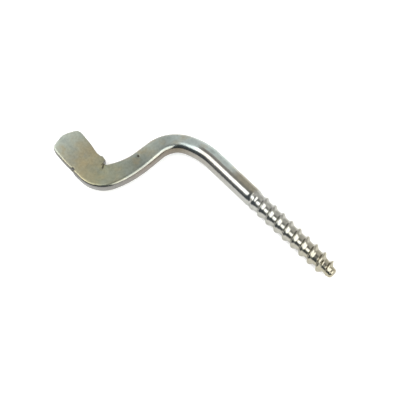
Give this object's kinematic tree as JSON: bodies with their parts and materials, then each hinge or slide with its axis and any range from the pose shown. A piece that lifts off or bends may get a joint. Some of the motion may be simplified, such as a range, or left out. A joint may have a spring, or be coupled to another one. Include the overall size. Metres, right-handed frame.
{
  "type": "screw hook",
  "caption": "Swan-neck screw hook in zinc-plated steel wire: a threaded shank, bent twice in one plane, with its neck and end pressed flat to a broad paddle.",
  "frame": {"origin": "on the screw axis where the thread begins, at the end of the plain shank", "axes": "+X leads along the screw axis out of the wall, +Y is the way the neck leads off, and +Z is square to the plane of the bends and up as the hook lies on its side"},
  "size_m": [0.1183, 0.049, 0.0084],
  "materials": {
    "zinc_plated_steel": "satin"
  },
  "bodies": {
    "root": {"screw_hook": "zinc_plated_steel"}
  },
  "joints": []
}
